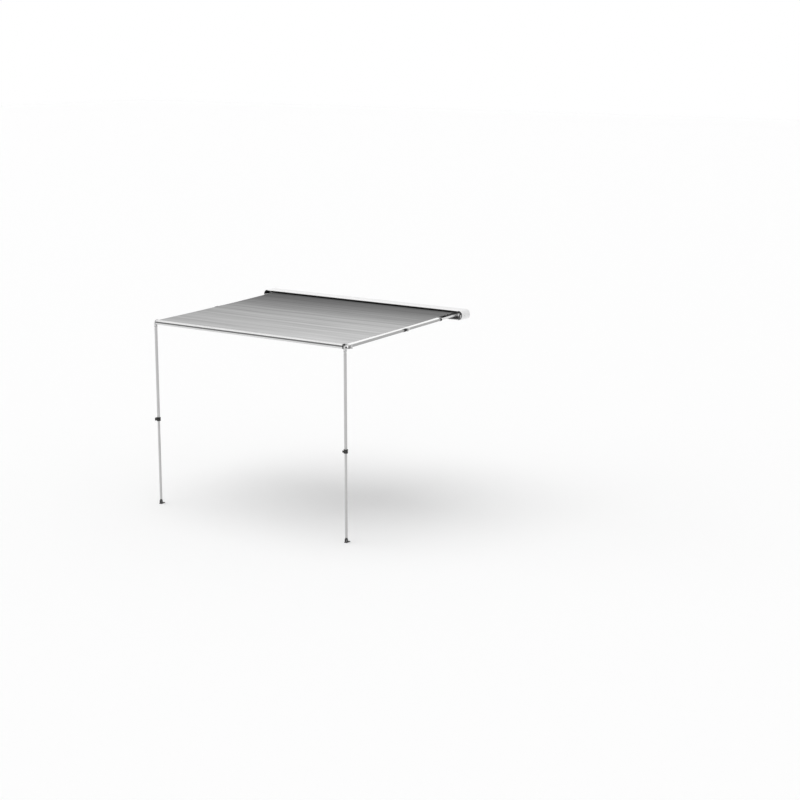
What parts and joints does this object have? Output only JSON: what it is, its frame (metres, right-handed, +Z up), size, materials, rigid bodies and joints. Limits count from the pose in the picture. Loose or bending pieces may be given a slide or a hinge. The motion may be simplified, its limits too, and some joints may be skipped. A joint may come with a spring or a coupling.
{
  "type": "roll out awning",
  "caption": "Wall awning rolled out from a slim cassette: taut striped fabric on a sprung roller, folding rafters, a front bar and telescopic folding legs with hinged feet.",
  "frame": {"origin": "centre of the cassette's back face, on the wall", "axes": "+X along the awning's width, +Y into the wall, +Z up; drawn rolled out with the legs standing"},
  "size_m": [3.046, 2.3597, 2.3429],
  "materials": {
    "white_paint": "white gloss powder coat",
    "black_plastic": "fine grain",
    "rubber_seal": "matt",
    "steel": "zinc plated",
    "cast_alloy": "dark coated casting",
    "fabric_grey": "coated woven cloth with fine stripes",
    "aluminium": "satin anodised",
    "grey_plastic": "satin",
    "dark_steel": "black",
    "foot_plastic": "fine grain"
  },
  "bodies": {
    "cassette": {"back_rail": "aluminium", "hood": "white_paint", "bottom_tray": "white_paint", "cassette_end_cap_left": "white_paint", "cassette_end_cap_right": "white_paint", "slot_seal": "rubber_seal", "spring_shaft": "steel", "torsion_spring": "steel", "idler_pin": "steel", "rafter_wall_brackets": "cast_alloy", "wall_pivot_pins": "steel", "cassette_screws": "steel", "canopy_fabric": "fabric_grey"},
    "roller": {"roller_tube": "aluminium", "roller_plugs": "black_plastic", "fabric_roll": "fabric_grey"},
    "lead_bar": {"lead_bar": "aluminium", "groove_strip": "grey_plastic", "bar_end_cap_left": "black_plastic", "bar_end_cap_right": "black_plastic", "front_keder": "fabric_grey", "rafter_bar_brackets": "aluminium", "bar_pivot_pins": "steel", "leg_bolts": "dark_steel"},
    "rafter_rod_left": {"rafter_rod_left": "aluminium"},
    "rafter_rear_left": {"rafter_mid_tube_left": "aluminium", "elbow_rear_left": "aluminium"},
    "lock_collar_left": {"lock_collar_left": "black_plastic"},
    "rafter_front_left": {"elbow_front_left": "black_plastic", "elbow_pin_left": "steel", "rafter_front_tube_left": "aluminium", "rafter_front_eye_left": "aluminium"},
    "leg_knuckle_left": {"leg_knuckle_left": "aluminium", "fold_pin_left": "steel"},
    "leg_upper_left": {"leg_top_left": "aluminium", "leg_upper_tube_left": "aluminium", "leg_clamp_left": "black_plastic"},
    "clamp_lever_left": {"clamp_lever_left": "black_plastic"},
    "leg_lower_left": {"leg_lower_tube_left": "aluminium", "leg_end_plug_left": "foot_plastic"},
    "foot_left": {"foot_left": "foot_plastic", "foot_pin_left": "steel"},
    "rafter_rod_right": {"rafter_rod_right": "aluminium"},
    "rafter_rear_right": {"rafter_mid_tube_right": "aluminium", "elbow_rear_right": "aluminium"},
    "lock_collar_right": {"lock_collar_right": "black_plastic"},
    "rafter_front_right": {"elbow_front_right": "black_plastic", "elbow_pin_right": "steel", "rafter_front_tube_right": "aluminium", "rafter_front_eye_right": "aluminium"},
    "leg_knuckle_right": {"leg_knuckle_right": "aluminium", "fold_pin_right": "steel"},
    "leg_upper_right": {"leg_top_right": "aluminium", "leg_upper_tube_right": "aluminium", "leg_clamp_right": "black_plastic"},
    "clamp_lever_right": {"clamp_lever_right": "black_plastic"},
    "leg_lower_right": {"leg_lower_tube_right": "aluminium", "leg_end_plug_right": "foot_plastic"},
    "foot_right": {"foot_right": "foot_plastic", "foot_pin_right": "steel"}
  },
  "joints": [
    {"name": "roll_in", "type": "hinge", "parent": "cassette", "child": "rafter_rod_right", "pos_m": [1.434, -0.10673, -0.001], "axis": [0, 0.0297, -0.9996], "range_deg": [0, 88.9], "deforming": ["canopy_fabric"]},
    {"name": "rafter_tension_right", "type": "slide", "parent": "rafter_rod_right", "child": "rafter_rear_right", "axis": [0, -0.9996, -0.0297], "range_m": [-0.02, 0]},
    {"name": "elbow_right", "type": "hinge", "parent": "rafter_rear_right", "child": "rafter_front_right", "pos_m": [1.434, -1.18125, -0.03289], "axis": [0, -0.0297, 0.9996], "range_deg": [0, 178]},
    {"name": "bar_hinge", "type": "hinge", "parent": "rafter_front_right", "child": "lead_bar", "pos_m": [1.434, -2.25578, -0.06478], "axis": [0, 0.0297, -0.9996], "range_deg": [0, 89]},
    {"name": "rafter_fold_left", "type": "hinge", "parent": "cassette", "child": "rafter_rod_left", "pos_m": [-1.434, -0.10673, -0.001], "axis": [0, -0.0297, 0.9996], "range_deg": [0, 89]},
    {"name": "rafter_tension_left", "type": "slide", "parent": "rafter_rod_left", "child": "rafter_rear_left", "axis": [0, -0.9996, -0.0297], "range_m": [-0.02, 0]},
    {"name": "elbow_left", "type": "hinge", "parent": "rafter_rear_left", "child": "rafter_front_left", "pos_m": [-1.434, -1.18125, -0.03289], "axis": [0, 0.0297, -0.9996], "range_deg": [0, 178]},
    {"name": "roller_spin", "type": "hinge", "parent": "cassette", "child": "roller", "pos_m": [0, -0.03862, 0.00873], "axis": [-1, 0, 0], "range_deg": [0, 4848]},
    {"name": "lock_twist_left", "type": "hinge", "parent": "rafter_rear_left", "child": "lock_collar_left", "pos_m": [-1.415, -0.47856, -0.01204], "axis": [0, -0.9996, -0.0297], "range_deg": [0, 60]},
    {"name": "leg_rake_left", "type": "hinge", "parent": "lead_bar", "child": "leg_knuckle_left", "pos_m": [-1.4, -2.32575, -0.06686], "axis": [-1, 0, 0], "range_deg": [-5, 15]},
    {"name": "leg_fold_left", "type": "hinge", "parent": "leg_knuckle_left", "child": "leg_upper_left", "pos_m": [-1.4, -2.32575, -0.11086], "axis": [0, 1, 0], "range_deg": [-90, 0]},
    {"name": "clamp_release_left", "type": "hinge", "parent": "leg_upper_left", "child": "clamp_lever_left", "pos_m": [-1.426, -2.35275, -1.23386], "axis": [0, 0, -1], "range_deg": [0, 110]},
    {"name": "leg_extend_left", "type": "slide", "parent": "leg_upper_left", "child": "leg_lower_left", "axis": [0, 0, 1], "range_m": [0, 0.9]},
    {"name": "foot_tilt_left", "type": "hinge", "parent": "leg_lower_left", "child": "foot_left", "pos_m": [-1.4, -2.32575, -2.25286], "axis": [-1, 0, 0], "range_deg": [-20, 85]},
    {"name": "lock_twist_right", "type": "hinge", "parent": "rafter_rear_right", "child": "lock_collar_right", "pos_m": [1.415, -0.47856, -0.01204], "axis": [0, -0.9996, -0.0297], "range_deg": [0, 60]},
    {"name": "leg_rake_right", "type": "hinge", "parent": "lead_bar", "child": "leg_knuckle_right", "pos_m": [1.4, -2.32575, -0.06686], "axis": [-1, 0, 0], "range_deg": [-5, 15]},
    {"name": "leg_fold_right", "type": "hinge", "parent": "leg_knuckle_right", "child": "leg_upper_right", "pos_m": [1.4, -2.32575, -0.11086], "axis": [0, 1, 0], "range_deg": [0, 90]},
    {"name": "clamp_release_right", "type": "hinge", "parent": "leg_upper_right", "child": "clamp_lever_right", "pos_m": [1.426, -2.35275, -1.23386], "axis": [0, 0, 1], "range_deg": [0, 110]},
    {"name": "leg_extend_right", "type": "slide", "parent": "leg_upper_right", "child": "leg_lower_right", "axis": [0, 0, 1], "range_m": [0, 0.9]},
    {"name": "foot_tilt_right", "type": "hinge", "parent": "leg_lower_right", "child": "foot_right", "pos_m": [1.4, -2.32575, -2.25286], "axis": [-1, 0, 0], "range_deg": [-20, 85]}
  ],
  "couplings": [
    {"joint": "elbow_right", "follows": "roll_in", "ratio": 2},
    {"joint": "bar_hinge", "follows": "roll_in", "ratio": 1},
    {"joint": "rafter_fold_left", "follows": "roll_in", "ratio": 1},
    {"joint": "elbow_left", "follows": "roll_in", "ratio": 2},
    {"joint": "roller_spin", "follows": "roll_in", "ratio": 54.51},
    {"joint": "rafter_tension_left", "follows": "rafter_tension_right", "ratio": 1}
  ]
}
